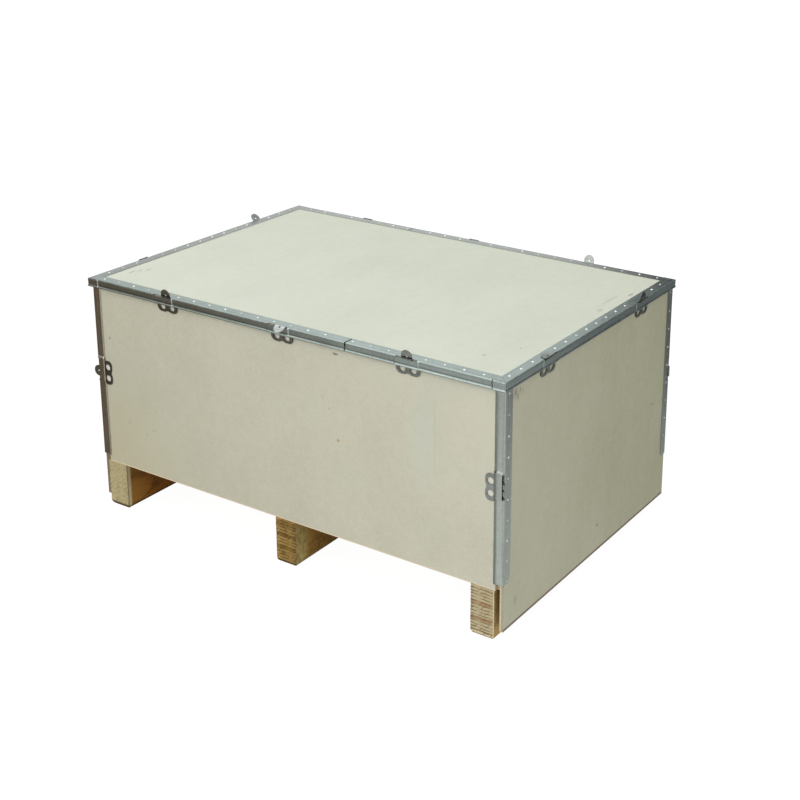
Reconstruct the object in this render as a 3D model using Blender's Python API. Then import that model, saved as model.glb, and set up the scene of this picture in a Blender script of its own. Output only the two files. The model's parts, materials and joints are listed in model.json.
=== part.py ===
"""Plywood shipping crate on three skids, with steel edge strips and bent-tongue locks.

Metres, +Z up. The origin is on the ground under the middle of the crate, +X runs along its length
and the front is at -Y. The lid lifts straight off. Each lock is a stamped tie plate that lies on a
panel, passes behind a raised bridge of a strip and comes out of a slot as a half-round tongue. The
stamping is split at its bend line, so that the tongue can be bent over.
"""
import math

import bmesh
import bpy
from mathutils import Matrix, Vector

# Overall sizes
LID_LENGTH = 1.200             # over the faces of the lid's end strips
LID_WIDTH = 0.800              # over the faces of the lid's front and back strips
SIDE_HEIGHT = 0.474            # front and back panels
SKID_HEIGHT = 0.118
SKID_WIDTH = 0.060
PLY = 0.009                    # lid and side panels
DECK_PLY = 0.012               # floor
STEEL = 0.0008                 # edge strips and corner strips
PLATE = 0.0012                 # tie plates and tongues
SEAT = 0.0003                  # gap between pieces that touch

# How the panels and skids lie under the lid
FRONT_INSET = 0.0065           # lid strip's face to the front panel's face, and at the back
LEFT_INSET = 0.009             # lid strip's face to the left panel's face
RIGHT_INSET = 0.004            # lid strip's face to the right panel's face
LID_PANEL_INSET = 0.003        # lid strip's face to the lid panel's edge
CORNER_GAP = 0.0095            # end panel's inner face to the front panel's side edge
END_SETBACK = 0.0035           # front panel's face to the end panel's front edge
END_GROUND_GAP = 0.022         # ground to the end panel's lower edge
SKID_INSET = 0.025             # lid end strip's face to the outer side of an outer skid
SKID_EDGE = 0.002              # eased edges of a skid

# Section of the lid's edge strips: flange, fold, face and a half-round bead along the free edge
LID_FLANGE = 0.028
LID_FACE = 0.016               # flange's top to the bottom of the face
LID_LIP = 0.0055               # height of the bead under the face
LID_RECESS = 0.0005            # how far the face leans in under the fold
LID_BEAD = 0.0014              # how far the bead stands out from the face
LID_BUTT = 0.190               # middle of the front edge to the butt joint of its two strips
LID_BUTT_GAP = 0.0024

# Tabs that carry an end strip's face round onto the front and back
TAB_LENGTH = 0.031
TAB_RETURN = 0.0035            # width of the flange left at a tab's fold
TAB_PROUD = 0.0014             # how far a tab stands out from the front strip's face
TAB_RAMP = 0.0025              # length in which a tab's end comes down to that face
TAB_GAP = 0.0010               # tab's end to the front strip

# Section of the corner strips
CORNER_FLANGE = 0.028
CORNER_FACE = 0.019
CORNER_LIP = 0.006
CORNER_BEAD = 0.0016
CORNER_FOOT = 0.017            # front panel's lower edge to the strip's lower end
CORNER_CHAMFER = 0.008         # cut corner at the lower end of the flange

# Shared by all strips
FOLD_RADIUS = 0.0024
FOLD_STEPS = 4
BEAD_STEPS = 4
SLIT = 0.0005                  # gap at mitres, and along the tabs

# Bridges and slots that the locks pass through
BRIDGE_LENGTH = 0.060
SLOT_END = 0.0015              # bridge's end to the slot's end
SLOT_DEPTH = 0.0028            # how far the slot reaches into the flange
LID_BULGE = 0.0014             # how far a lid strip's bridge stands out
LID_RAMP = 0.0025              # length in which it comes down again at each end
LID_SLOT_DROP = 0.0026         # how far the slot reaches down the face
CORNER_BULGE = 0.0022
CORNER_RAMP = 0.0045
CORNER_SLOT_DROP = 0.005

# Stamping of a lock, measured from the flange's outer face when it is pushed fully in
TONGUE_WIDTH = 0.028
TONGUE_TIP = 0.0195
TONGUE_HOLE = 0.005
TONGUE_HOLE_HEIGHT = 0.0045
BASE_WIDTH = 0.062
BASE_TOP = -0.018
BASE_BOTTOM = -0.040
BASE_SHOULDER = 0.003          # rounding of the upper corners
BASE_CORNER = 0.0115           # rounding of the lower corners
BASE_NOTCH = 0.003             # depth of the notch between the two lobes
BASE_NOTCH_WIDTH = 0.016
BASE_HOLE = 0.016
BASE_HOLE_HEIGHT = -0.0268
BASE_HOLE_SPACING = 0.029
HOLE_SIDES = 20
NECK_GAP = 0.00125             # bend line to the neck's end, so that a bent tongue clears it
ROOT_ROUNDING = 0.00054        # rounding of the tongue's long edges at its root
CORNER_SLIDE = -0.0072         # corner plates sit this far short of fully in

# Places of the locks, from the middle of each edge, and of the corner locks above the ground
LOCK_SPREAD_FRONT = 0.353
LOCK_SPREAD_END = 0.217
CORNER_LOCK_HEIGHT = 0.366

# Bends of a tongue, from straight: a little out, out over the bridge, and in onto the flange
BENT_A_LITTLE = math.radians(35)
BENT_OUT = math.radians(118)
FLAT_IN_SPARE = math.radians(1)

# What follows from the sizes above
PANEL_TOP = SKID_HEIGHT + SEAT + SIDE_HEIGHT
LID_TOP = PANEL_TOP + SEAT + PLY + SEAT + STEEL
HALF_LENGTH = LID_LENGTH / 2
HALF_WIDTH = LID_WIDTH / 2
SKID_SPREAD = HALF_LENGTH - SKID_INSET - SKID_WIDTH / 2
END_FACES = {-1: LEFT_INSET - HALF_LENGTH, 1: HALF_LENGTH - RIGHT_INSET}
END_INNERS = {side: face - side * PLY for side, face in END_FACES.items()}
FRONT_FACE = HALF_WIDTH - FRONT_INSET
FRONT_INNER = FRONT_FACE - PLY
FRONT_ENDS = {side: face - side * CORNER_GAP for side, face in END_INNERS.items()}
STRIP_STANDOFF = SEAT + STEEL
BEND_RISE = PLATE / 2 + SEAT
NECK_END = BEND_RISE - NECK_GAP
CORNER_TOP = PANEL_TOP
CORNER_BOTTOM = SKID_HEIGHT + SEAT + CORNER_FOOT
REACH = 0.010                  # cutters run this far past what they cut

X_AXIS = Vector((1, 0, 0))
Y_AXIS = Vector((0, 1, 0))
Z_AXIS = Vector((0, 0, 1))

STRAIGHT, LEANING, OUT, FLAT = "straight", "leaning", "out", "flat"

# Lid locks: name, edge, place along the edge, sideways play of the plate, rest bend
LID_LOCKS = (
    ("front_left", "front", -LOCK_SPREAD_FRONT, 0.012, STRAIGHT),
    ("front_middle", "front", 0.0, 0.009, OUT),
    ("front_right", "front", LOCK_SPREAD_FRONT, 0.001, STRAIGHT),
    ("right_front", "right", -LOCK_SPREAD_END, -0.008, FLAT),
    ("right_rear", "right", LOCK_SPREAD_END, 0.001, STRAIGHT),
    ("left_front", "left", -LOCK_SPREAD_END, 0.003, OUT),
    ("left_rear", "left", LOCK_SPREAD_END, 0.001, LEANING),
    ("back_left", "back", -LOCK_SPREAD_FRONT, 0.004, OUT),
    ("back_middle", "back", 0.0, 0.006, OUT),
    ("back_right", "back", LOCK_SPREAD_FRONT, 0.004, STRAIGHT),
)

# Corner locks: name, side of X, side of Y, rest bend. Their plates have dropped in the bridge.
CORNER_DROP = -0.0065
CORNER_LOCKS = (
    ("front_left", -1, -1, STRAIGHT),
    ("front_right", 1, -1, FLAT),
    ("back_left", -1, 1, OUT),
    ("back_right", 1, 1, FLAT),
)

# Edges of the lid: outward direction, direction along the edge, half length, panel inset
LID_EDGES = {
    "front": (-Y_AXIS, X_AXIS, HALF_WIDTH, FRONT_INSET),
    "back": (Y_AXIS, X_AXIS, HALF_WIDTH, FRONT_INSET),
    "left": (-X_AXIS, Y_AXIS, HALF_LENGTH, LEFT_INSET),
    "right": (X_AXIS, Y_AXIS, HALF_LENGTH, RIGHT_INSET),
}


def clear_scene():
    for item in list(bpy.data.objects):
        bpy.data.objects.remove(item, do_unlink=True)


def make_material(name, colour, roughness, metallic):
    material = bpy.data.materials.new(name)
    material.use_nodes = True
    shader = material.node_tree.nodes["Principled BSDF"]
    shader.inputs["Base Color"].default_value = (*colour, 1.0)
    shader.inputs["Roughness"].default_value = roughness
    shader.inputs["Metallic"].default_value = metallic
    material.diffuse_color = (*colour, 1.0)
    return material


def make_group(name):
    """Empty that carries the pieces which move together."""
    empty = bpy.data.objects.new(name, None)
    bpy.context.scene.collection.objects.link(empty)
    return empty


def make_object(name, bm, frame, material, group):
    """Object from a bmesh that is drawn in the local frame."""
    bmesh.ops.recalc_face_normals(bm, faces=bm.faces[:])
    mesh = bpy.data.meshes.new(name)
    bm.to_mesh(mesh)
    bm.free()
    item = bpy.data.objects.new(name, mesh)
    bpy.context.scene.collection.objects.link(item)
    item.parent = group
    item.matrix_basis = frame
    item.data.materials.append(material)
    return item


def cut(item, bm, frame):
    """Takes the closed shapes in a bmesh out of an object."""
    bmesh.ops.recalc_face_normals(bm, faces=bm.faces[:])
    mesh = bpy.data.meshes.new(item.name + "_cutter")
    bm.to_mesh(mesh)
    bm.free()
    cutter = bpy.data.objects.new(item.name + "_cutter", mesh)
    bpy.context.scene.collection.objects.link(cutter)
    cutter.matrix_basis = frame
    cutter.hide_render = True
    cutter.display_type = 'WIRE'
    modifier = item.modifiers.new("cut", 'BOOLEAN')
    modifier.operation = 'DIFFERENCE'
    modifier.solver = 'EXACT'
    modifier.object = cutter


def make_frame(along, outward, upward, origin):
    """Frame with its axes along a strip, out of its face and out of its flange."""
    frame = Matrix((along, outward, upward)).transposed().to_4x4()
    frame.translation = origin
    return frame


def add_prism(bm, outline, low, high):
    """Closed prism on an outline in the local XY plane, from one height to another."""
    corners = [bm.verts.new((x, y, low)) for x, y in outline]
    base = bm.faces.new(corners)
    grown = bmesh.ops.extrude_face_region(bm, geom=[base])["geom"]
    moved = [part for part in grown if isinstance(part, bmesh.types.BMVert)]
    bmesh.ops.translate(bm, vec=(0, 0, high - low), verts=moved)


def add_box(bm, low, high):
    outline = ((low[0], low[1]), (high[0], low[1]), (high[0], high[1]), (low[0], high[1]))
    add_prism(bm, outline, low[2], high[2])


def arc(centre, radius, start, end, steps):
    """Points on an arc, with both ends, angles in degrees."""
    points = []
    for step in range(steps + 1):
        angle = math.radians(start + (end - start) * step / steps)
        points.append((centre[0] + radius * math.cos(angle), centre[1] + radius * math.sin(angle)))
    return points


def make_board(name, low, high, material, group, edge=0.0):
    """Board between two corners, with its origin at its middle and eased edges if asked."""
    centre = (Vector(low) + Vector(high)) / 2
    half = (Vector(high) - Vector(low)) / 2
    bm = bmesh.new()
    add_box(bm, -half, half)
    board = make_object(name, bm, Matrix.Translation(centre), material, group)
    if edge:
        bevel = board.modifiers.new("eased edges", 'BEVEL')
        bevel.width = edge
        bevel.segments = 2
    return board


def strip_section(flange, face, lip, recess, bead, bulge):
    """Outer line of a strip, from the flange's edge to the bead's edge, as (outward, up) points."""
    points = [(-flange, 0.0), (-flange + CORNER_CHAMFER, 0.0)]
    for step in range(FOLD_STEPS + 1):
        angle = math.pi / 2 * (1 - step / FOLD_STEPS)
        pushed = bulge * (1 - math.sin(angle))
        outward = -FOLD_RADIUS + FOLD_RADIUS * math.cos(angle)
        points.append((outward + pushed, -FOLD_RADIUS + FOLD_RADIUS * math.sin(angle)))
    for step in range(BEAD_STEPS + 1):
        share = step / BEAD_STEPS
        points.append((bulge - recess + bead * math.sin(math.pi * share), -face - lip * share))
    return points


def inner_line(points, thickness):
    """The line offset to the inside of the strip by its thickness."""
    normals = []
    for first, second in zip(points, points[1:]):
        step = Vector(second) - Vector(first)
        normals.append(Vector((step.y, -step.x)).normalized())
    shifted = []
    for index, point in enumerate(points):
        before = normals[max(index - 1, 0)]
        after = normals[min(index, len(normals) - 1)]
        middle = (before + after).normalized()
        shifted.append(Vector(point) + middle * thickness / middle.dot(after))
    return [tuple(point) for point in shifted]


def strip_ring(section, place):
    """Outer and inner points of a section, put where place says."""
    outer = [place(*point) for point in section]
    inner = [place(*point) for point in inner_line(section, STEEL)]
    return outer, inner


def make_strip(name, frame, rings, material, group):
    """Sheet strip through rings of outer and inner points."""
    bm = bmesh.new()
    rows = []
    for outer, inner in rings:
        rows.append(([bm.verts.new(point) for point in outer], [bm.verts.new(point) for point in inner]))
    count = len(rows[0][0])
    for (outer, inner), (next_outer, next_inner) in zip(rows, rows[1:]):
        for index in range(count - 1):
            bm.faces.new((outer[index], outer[index + 1], next_outer[index + 1], next_outer[index]))
            bm.faces.new((inner[index], next_inner[index], next_inner[index + 1], inner[index + 1]))
        for index in (0, count - 1):
            bm.faces.new((outer[index], inner[index], next_inner[index], next_outer[index]))
    for outer, inner in (rows[0], rows[-1]):
        for index in range(count - 1):
            bm.faces.new((outer[index], outer[index + 1], inner[index + 1], inner[index]))
    return make_object(name, bm, frame, material, group)


def bridge_stations(places, ramp):
    """Places along a strip where its section changes, with the share of the bulge at each."""
    stations = []
    for place in sorted(places):
        half = BRIDGE_LENGTH / 2
        stations += [(place - half - ramp, 0.0), (place - half, 1.0)]
        stations += [(place + half, 1.0), (place + half + ramp, 0.0)]
    return stations


def add_slots(bm, places, drop):
    """Cutters for the slot over each bridge: the fold goes, the flange and the bridge stay."""
    half = BRIDGE_LENGTH / 2 - SLOT_END
    for place in places:
        add_box(bm, (place - half, -SLOT_DEPTH, -drop), (place + half, REACH, REACH))


def lid_section(bulge_share):
    return strip_section(LID_FLANGE, LID_FACE, LID_LIP, LID_RECESS, LID_BEAD, LID_BULGE * bulge_share)


def lid_frame(edge):
    """Frame of a lid strip: its origin is where the face meets the top, in the middle of the edge."""
    outward, _, reach, _ = LID_EDGES[edge]
    return make_frame(outward.cross(Z_AXIS), outward, Z_AXIS, outward * reach + Z_AXIS * LID_TOP)


def edge_sign(edge):
    """1 where the strip's own length runs the same way as the crate's axis, else -1."""
    outward, along, _, _ = LID_EDGES[edge]
    return outward.cross(Z_AXIS).dot(along)


def lock_places(edge):
    return [edge_sign(edge) * lock[2] for lock in LID_LOCKS if lock[1] == edge]


def make_long_strip(name, edge, start, end, material, group):
    """Front or back strip between two places, mitred and notched where an end strip's tab lies."""
    frame = lid_frame(edge)
    places = [place for place in lock_places(edge) if start < place < end]

    def ring(place, share, mitre):
        return strip_ring(lid_section(share), lambda n, f: (place + mitre * n, n, f))

    low_mitre = -1 if start == -HALF_LENGTH else 0
    high_mitre = 1 if end == HALF_LENGTH else 0
    low_gap = SLIT if low_mitre else LID_BUTT_GAP
    high_gap = SLIT if high_mitre else LID_BUTT_GAP
    rings = [ring(start + low_gap / 2, 0.0, low_mitre)]
    rings += [ring(place, share, 0) for place, share in bridge_stations(places, LID_RAMP)]
    rings += [ring(end - high_gap / 2, 0.0, high_mitre)]
    strip = make_strip(name, frame, rings, material, group)

    cutters = bmesh.new()
    add_slots(cutters, places, LID_SLOT_DROP)
    depth = TAB_RETURN + SLIT
    for corner, used in ((-HALF_LENGTH, low_mitre), (HALF_LENGTH, high_mitre)):
        if used:
            inner = corner - used * (TAB_LENGTH + TAB_RAMP + TAB_GAP)
            low, high = sorted((inner, corner + used * REACH))
            add_box(cutters, (low, -depth, -LID_FACE - LID_LIP - REACH), (high, REACH, REACH))
    cut(strip, cutters, frame)


def make_end_strip(name, edge, material, group):
    """End strip with its face carried round both corners of the lid."""
    frame = lid_frame(edge)
    plain = lid_section(0.0)
    places = lock_places(edge)

    def main_ring(place, share):
        return strip_ring(lid_section(share), lambda n, f: (place, n, f))

    def corner_ring(side):
        return strip_ring(plain, lambda n, f: (side * (HALF_WIDTH + TAB_PROUD + n), n, f))

    def tab_ring(side, reach, proud):
        return strip_ring(plain, lambda n, f: (side * (HALF_WIDTH + proud + n), -reach, f))

    tab_end = TAB_LENGTH + TAB_RAMP
    rings = [tab_ring(-1, tab_end, 0.0), tab_ring(-1, TAB_LENGTH, TAB_PROUD), corner_ring(-1)]
    rings += [main_ring(place, share) for place, share in bridge_stations(places, LID_RAMP)]
    rings += [corner_ring(1), tab_ring(1, TAB_LENGTH, TAB_PROUD), tab_ring(1, tab_end, 0.0)]
    strip = make_strip(name, frame, rings, material, group)

    cutters = bmesh.new()
    add_slots(cutters, places, LID_SLOT_DROP)
    deepest = LID_FLANGE + REACH
    for side in (-1, 1):
        outline = [(side * (HALF_WIDTH - depth), -depth + SLIT / 2) for depth in (TAB_RETURN, deepest)]
        outline += [(side * (HALF_WIDTH - depth), -tab_end - REACH) for depth in (deepest, TAB_RETURN)]
        add_prism(cutters, outline, -STEEL - SEAT, REACH)
    cut(strip, cutters, frame)


def corner_frame(side_x, side_y):
    """Frame of a corner strip: face on the front or back, flange on the end."""
    outward = Y_AXIS * side_y
    upward = X_AXIS * side_x
    origin = Vector((END_FACES[side_x] + side_x * STRIP_STANDOFF, side_y * (FRONT_FACE + STRIP_STANDOFF), 0))
    return make_frame(outward.cross(upward), outward, upward, origin)


def make_corner_strip(name, side_x, side_y, material, group):
    frame = corner_frame(side_x, side_y)
    upright = frame.to_3x3().col[0].z
    place_of_lock = upright * CORNER_LOCK_HEIGHT

    def ring(height, share, chamfer):
        section = strip_section(CORNER_FLANGE, CORNER_FACE, CORNER_LIP, 0.0, CORNER_BEAD,
                                CORNER_BULGE * share)
        edge = -CORNER_FLANGE + CORNER_CHAMFER / 2

        def place(n, f):
            raised = chamfer if n < edge and f > -FOLD_RADIUS else 0.0
            return (upright * (height + raised), n, f)

        return strip_ring(section, place)

    rings = [ring(CORNER_BOTTOM, 0.0, CORNER_CHAMFER)]
    stations = bridge_stations([CORNER_LOCK_HEIGHT], CORNER_RAMP)
    rings += [ring(height, share, 0.0) for height, share in stations]
    rings += [ring(CORNER_TOP, 0.0, 0.0)]
    strip = make_strip(name, frame, rings, material, group)
    cutters = bmesh.new()
    add_slots(cutters, [place_of_lock], CORNER_SLOT_DROP)
    cut(strip, cutters, frame)


def tongue_half_width(height):
    """Half width of the stamping's tongue at a height above the flange's outer face."""
    radius = TONGUE_WIDTH / 2
    above = max(height - (TONGUE_TIP - radius), 0.0)
    return math.sqrt(radius ** 2 - above ** 2)


def tongue_side(low, high, steps):
    """Right-hand side of the tongue between two heights, upwards."""
    radius = TONGUE_WIDTH / 2
    centre = TONGUE_TIP - radius
    if high <= centre:
        return [(radius, low), (radius, high)]
    start = max(low, centre)
    first = math.degrees(math.asin((start - centre) / radius))
    last = math.degrees(math.asin((high - centre) / radius))
    straight = [(radius, low)] if low < centre else []
    return straight + arc((0.0, centre), radius, first, last, steps)


def mirrored(points):
    """The points on the other side of the middle, in reverse order."""
    return [(-x, y) for x, y in reversed(points)]


def plate_outline(top):
    """Stamping below the bend: neck, shoulders and a base with two lobes."""
    half = BASE_WIDTH / 2
    notch_radius = (BASE_NOTCH_WIDTH ** 2 / 4 + BASE_NOTCH ** 2) / (2 * BASE_NOTCH)
    notch_angle = math.degrees(math.asin(BASE_NOTCH_WIDTH / 2 / notch_radius))
    notch_centre = BASE_BOTTOM + BASE_NOTCH - notch_radius
    side = arc((0.0, notch_centre), notch_radius, 90, 90 - notch_angle, 3)
    side += arc((half - BASE_CORNER, BASE_BOTTOM + BASE_CORNER), BASE_CORNER, -90, 0, 6)
    side += arc((half - BASE_SHOULDER, BASE_TOP - BASE_SHOULDER), BASE_SHOULDER, 0, 90, 3)
    side += tongue_side(BASE_TOP, top, 3)
    return side + mirrored(side[1:])


def tongue_outline(root):
    """Stamping above the bend, carried down by half its thickness for the rounded root."""
    side = [(tongue_half_width(root), root - PLATE / 2)] + tongue_side(root, TONGUE_TIP, 8)
    return side + mirrored(side[:-1])


def sheet(outline, lift):
    """Flat sheet of the stamping's thickness, drawn in the local XY plane."""
    bm = bmesh.new()
    add_prism(bm, [(x, y + lift) for x, y in outline], -PLATE / 2, PLATE / 2)
    return bm


def round_root(bm):
    """Rounds the two long edges at the tongue's root, so that it turns clear of the neck."""
    lowest = min(vert.co.y for vert in bm.verts)
    edges = [edge for edge in bm.edges if all(vert.co.y < lowest + ROOT_ROUNDING for vert in edge.verts)]
    across = [edge for edge in edges if abs(edge.verts[0].co.x - edge.verts[1].co.x) > PLATE]
    bmesh.ops.bevel(bm, geom=across, offset=ROOT_ROUNDING, offset_type='OFFSET', segments=3,
                    profile=0.5, affect='EDGES', material=-1)


def punch(item, frame, holes, lift):
    """Round holes through a sheet: centre and diameter of each."""
    bm = bmesh.new()
    for x, y, diameter in holes:
        place = Matrix.Translation((x, y + lift, 0.0))
        bmesh.ops.create_cone(bm, cap_ends=True, segments=HOLE_SIDES, radius1=diameter / 2,
                              radius2=diameter / 2, depth=PLATE + 2 * REACH, matrix=place)
    cut(item, bm, frame)


def lean_of(inset, bulge, slide):
    """Lean of a plate whose base lies on the panel and whose neck lies behind the bridge."""
    neck = bulge - STEEL - SEAT - PLATE / 2
    base = -inset + SEAT + PLATE / 2
    return math.atan2(neck - base, BEND_RISE - BASE_BOTTOM - slide)


def make_lock(name, strip_frame, place, inset, bulge, slide, rest_bend, material, group):
    """Tie plate and tongue of one lock. Both have their origin on the bend line."""
    along, outward, upward = (strip_frame.to_3x3().col[index] for index in range(3))
    neck = bulge - STEEL - SEAT - PLATE / 2
    lean = lean_of(inset, bulge, slide)
    origin = strip_frame @ Vector((place, neck, BEND_RISE))
    bends = {STRAIGHT: 0.0, LEANING: BENT_A_LITTLE, OUT: BENT_OUT,
             FLAT: FLAT_IN_SPARE - math.pi / 2 - lean}
    lift = slide - BEND_RISE

    def turned(angle):
        tall = upward * math.cos(angle) + outward * math.sin(angle)
        return make_frame(along, tall, along.cross(tall), origin)

    tongue_hole = (0.0, TONGUE_HOLE_HEIGHT, TONGUE_HOLE)
    half_spacing = BASE_HOLE_SPACING / 2
    base_holes = [(side * half_spacing, BASE_HOLE_HEIGHT, BASE_HOLE) for side in (-1, 1)]
    root = BEND_RISE - slide
    in_tongue = TONGUE_HOLE_HEIGHT - TONGUE_HOLE / 2 > root

    plate_frame = turned(lean)
    plate = make_object("tie_plate_" + name, sheet(plate_outline(NECK_END - slide), lift), plate_frame,
                        material, group)
    punch(plate, plate_frame, base_holes + ([] if in_tongue else [tongue_hole]), lift)

    tongue_frame = turned(lean + bends[rest_bend])
    tongue_sheet = sheet(tongue_outline(root), lift)
    round_root(tongue_sheet)
    tongue = make_object("tongue_" + name, tongue_sheet, tongue_frame, material, group)
    if in_tongue:
        punch(tongue, tongue_frame, [tongue_hole], lift)


def make_lid(materials, group):
    half_x = HALF_LENGTH - LID_PANEL_INSET
    half_y = HALF_WIDTH - LID_PANEL_INSET
    low = PANEL_TOP + SEAT
    make_board("lid_panel", (-half_x, -half_y, low), (half_x, half_y, low + PLY),
               materials["lid"], group)
    for edge in ("front", "back"):
        butt = edge_sign("front") * LID_BUTT
        ends = {-1: (-HALF_LENGTH, butt), 1: (butt, HALF_LENGTH)}
        for side, (start, end) in ends.items():
            hand = "right" if side * edge_sign(edge) > 0 else "left"
            make_long_strip(f"lid_strip_{edge}_{hand}", edge, start, end, materials["steel"], group)
    for edge in ("left", "right"):
        make_end_strip(f"lid_strip_{edge}", edge, materials["steel"], group)
    for name, edge, place, play, bend in LID_LOCKS:
        along = edge_sign(edge) * (place + play)
        make_lock(name, lid_frame(edge), along, LID_EDGES[edge][3], LID_BULGE, 0.0, bend,
                  materials["plate"], group)


def make_sides(materials, group):
    low = SKID_HEIGHT + SEAT
    for name, side in (("front", -1), ("back", 1)):
        faces = sorted((side * FRONT_FACE, side * FRONT_INNER))
        make_board(f"panel_{name}", (FRONT_ENDS[-1], faces[0], low), (FRONT_ENDS[1], faces[1], PANEL_TOP),
                   materials["side"], group)
    half_y = FRONT_FACE - END_SETBACK
    for name, side in (("left", -1), ("right", 1)):
        faces = sorted((END_FACES[side], END_INNERS[side]))
        make_board(f"panel_{name}", (faces[0], -half_y, END_GROUND_GAP), (faces[1], half_y, PANEL_TOP),
                   materials["side"], group)
    for name, side_x, side_y, bend in CORNER_LOCKS:
        make_corner_strip(f"corner_strip_{name}", side_x, side_y, materials["steel"], group)
        frame = corner_frame(side_x, side_y)
        upright = frame.to_3x3().col[0].z
        place = upright * (CORNER_LOCK_HEIGHT + CORNER_DROP)
        make_lock(f"corner_{name}", frame, place, STRIP_STANDOFF, CORNER_BULGE, CORNER_SLIDE, bend,
                  materials["plate"], group)


def make_floor(materials, group):
    half_y = FRONT_INNER - SEAT
    low = SKID_HEIGHT + SEAT
    make_board("floor_deck", (END_INNERS[-1] + SEAT, -half_y, low),
               (END_INNERS[1] - SEAT, half_y, low + DECK_PLY),
               materials["deck"], group)
    for name, middle in (("left", -SKID_SPREAD), ("middle", 0.0), ("right", SKID_SPREAD)):
        make_board(f"skid_{name}", (middle - SKID_WIDTH / 2, -FRONT_FACE, 0.0),
                   (middle + SKID_WIDTH / 2, FRONT_FACE, SKID_HEIGHT), materials["skid"], group,
                   SKID_EDGE)


def main():
    clear_scene()
    materials = {
        "lid": make_material("lid_plywood", (0.71, 0.68, 0.58), 0.62, 0.0),
        "side": make_material("side_plywood", (0.61, 0.55, 0.43), 0.66, 0.0),
        "deck": make_material("deck_plywood", (0.58, 0.50, 0.38), 0.70, 0.0),
        "skid": make_material("laminated_veneer", (0.52, 0.40, 0.23), 0.75, 0.0),
        "steel": make_material("galvanised_strip", (0.52, 0.54, 0.55), 0.38, 1.0),
        "plate": make_material("zinc_plate", (0.42, 0.43, 0.42), 0.42, 1.0),
    }
    crate = make_group("crate")
    lid = make_group("lid")
    make_floor(materials, crate)
    make_sides(materials, crate)
    make_lid(materials, lid)


main()
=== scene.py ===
"""Looks of a plywood shipping crate: boards, laminated skids, galvanised strips, locks and rivets."""
import json
import math
import random

import bmesh
import bpy
from mathutils import Matrix, Vector


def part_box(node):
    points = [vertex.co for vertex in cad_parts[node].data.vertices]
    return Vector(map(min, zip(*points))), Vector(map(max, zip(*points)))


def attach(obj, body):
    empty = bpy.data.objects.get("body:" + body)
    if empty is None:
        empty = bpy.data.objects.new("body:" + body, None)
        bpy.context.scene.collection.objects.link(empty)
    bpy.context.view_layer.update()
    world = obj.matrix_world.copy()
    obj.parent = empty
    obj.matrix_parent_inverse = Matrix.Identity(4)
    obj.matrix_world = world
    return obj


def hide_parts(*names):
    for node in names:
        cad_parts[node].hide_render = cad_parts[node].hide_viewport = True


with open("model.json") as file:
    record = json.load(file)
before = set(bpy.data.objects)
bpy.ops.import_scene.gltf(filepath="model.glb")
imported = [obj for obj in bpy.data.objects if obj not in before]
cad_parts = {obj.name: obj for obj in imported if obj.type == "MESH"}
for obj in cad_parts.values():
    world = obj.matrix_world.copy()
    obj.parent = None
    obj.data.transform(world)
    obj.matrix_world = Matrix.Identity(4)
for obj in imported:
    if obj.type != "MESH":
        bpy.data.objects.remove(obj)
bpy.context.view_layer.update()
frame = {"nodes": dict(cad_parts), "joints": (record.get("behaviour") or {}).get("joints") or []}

X, Y, Z = range(3)

# Camera, solved from the crate's straight edges in the photograph
PHOTO_SIDE = 800
FOCAL_PIXELS = 1436.2
PRINCIPAL_PIXEL = (492.6, 234.4)
SENSOR_MM = 36.0
CAMERA_AZIMUTH = math.radians(31.926)
CAMERA_ELEVATION = math.radians(16.734)
CAMERA_ROLL = math.radians(0.750)
CAMERA_TARGET = Vector((-0.0955, 0.6574, 0.5365))
CAMERA_DISTANCE = 4.1343

# Rivets: distance from the edge of the board under the strip, and the head's size
LID_RIVET_INSET = 0.0115
CORNER_RIVET_INSET = 0.0095
LID_RIVET_RADIUS = 0.0031
CORNER_RIVET_RADIUS = 0.0024
RIVET_HEIGHT = 0.0012
RIVET_BRIM = 0.18              # share of the height that stands straight
RIVET_SINK = 0.0002            # start of the brim under the flange's face
RIVET_SIDES = 12
RIVET_RINGS = 4
WELD = 0.00002                 # points closer than this are merged

# Rows of rivets: first place from the board's or strip's edge, pitch and count
LONG_ROWS = ((0.0402, 0.04875, 15), (0.7977, 0.04826, 8))
LEFT_ROW = (0.0529, 0.0460, 16)
RIGHT_ROW = (0.0340, 0.0471, 16)
CORNER_ROW = (0.0185, 0.048, 10)

# What a bent tongue covers: half of its width, and its reach from the fold
TONGUE_HALF_WIDTH = 0.018
TONGUE_REACH = 0.030

# Studio: half of the floor's side, height of the cards that lie on it, how far the cards run, where the
# upright ones stand behind the crate and change over, where the low ones end before the crate's front,
# and what the lamps face
FLOOR_HALF = 40.0
LOW = 0.003
FAR = 14
BEHIND = 6
CHANGE_OVER = 3.65
BEFORE = -0.42
CRATE_MIDDLE = Vector((0.0, 0.0, 0.4))

# Holes in the tie plates: radius, where the painted pool of light that they let onto the board ends,
# distance from the plate's free edge, half of their spacing
HOLE_RADIUS = 0.0085
LOBE_RADIUS = 0.0130
HOLE_EDGE = 0.0132
HOLE_HALF_SPACING = 0.0145

# Skids: layers of veneer and how far they stray from an even share, how unevenly the saw left the ends,
# the seed of both, the rounding of the two lower edges, how far the underside is lifted and the left side
# moved out
SKID_LAYERS = 15
SKID_LAYER_PLAY = 0.25
SKID_SAW_DEPTH = 0.0010
SKID_SEED = 7
SKID_ROUNDING = {"skid_left": (0.016, 0.004), "skid_middle": (0.006, 0.005), "skid_right": (0.009, 0.003)}
SKID_LIFT = {"skid_left": 0.0, "skid_middle": 0.005, "skid_right": 0.0}
SKID_WIDENING = {"skid_left": 0.004, "skid_middle": 0.0, "skid_right": 0.0}
ROUNDING_SEGMENTS = 4
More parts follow.
